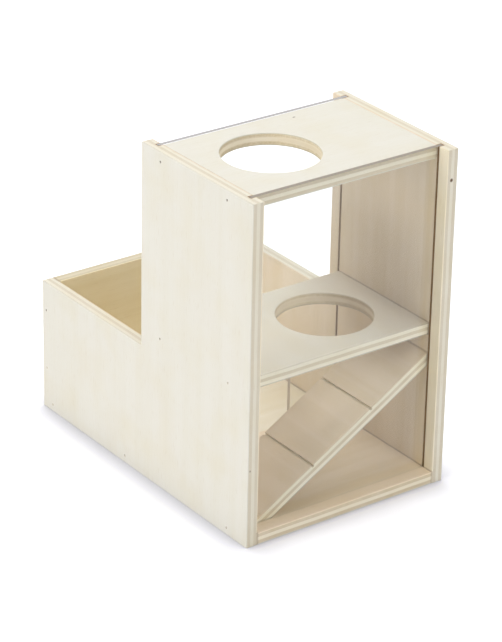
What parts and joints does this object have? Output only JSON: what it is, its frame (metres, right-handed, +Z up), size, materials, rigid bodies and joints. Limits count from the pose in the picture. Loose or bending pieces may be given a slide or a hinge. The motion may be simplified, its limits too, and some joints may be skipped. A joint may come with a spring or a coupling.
{
  "type": "wooden hamster house",
  "caption": "Plywood hamster house: a tower with clear sliding panes, round entrances and an inside ramp, and an open-topped box behind it.",
  "frame": {"origin": "middle of the house's footprint, on the surface that it stands on", "axes": "+X to the right of someone facing the tower's front, +Y from the front to the box at the back, +Z up"},
  "size_m": [0.168, 0.25, 0.25],
  "materials": {
    "plywood": "sanded, unvarnished",
    "clear_acrylic": "clear, polished",
    "steel": "bright, drawn wire"
  },
  "bodies": {
    "house": {"side_panel_left": "plywood", "side_panel_right": "plywood", "top_board": "plywood", "middle_board": "plywood", "floor_board": "plywood", "rear_wall": "plywood", "ramp_board": "plywood", "brads_top_board_left": "steel", "brads_top_board_right": "steel", "brads_middle_board_left": "steel", "brads_middle_board_right": "steel", "brads_floor_board_left": "steel", "brads_floor_board_right": "steel", "brads_rear_wall_left": "steel", "brads_rear_wall_right": "steel", "brads_ramp_end": "steel", "brads_ramp_foot": "steel"},
    "front_pane": {"front_pane": "clear_acrylic"},
    "rear_pane": {"rear_pane": "clear_acrylic"}
  },
  "joints": [
    {"name": "front_pane_slide", "type": "slide", "parent": "house", "child": "front_pane", "axis": [0, 0, 1], "range_m": [0, 0.241]},
    {"name": "rear_pane_slide", "type": "slide", "parent": "house", "child": "rear_pane", "axis": [0, 0, 1], "range_m": [0, 0.241]}
  ]
}
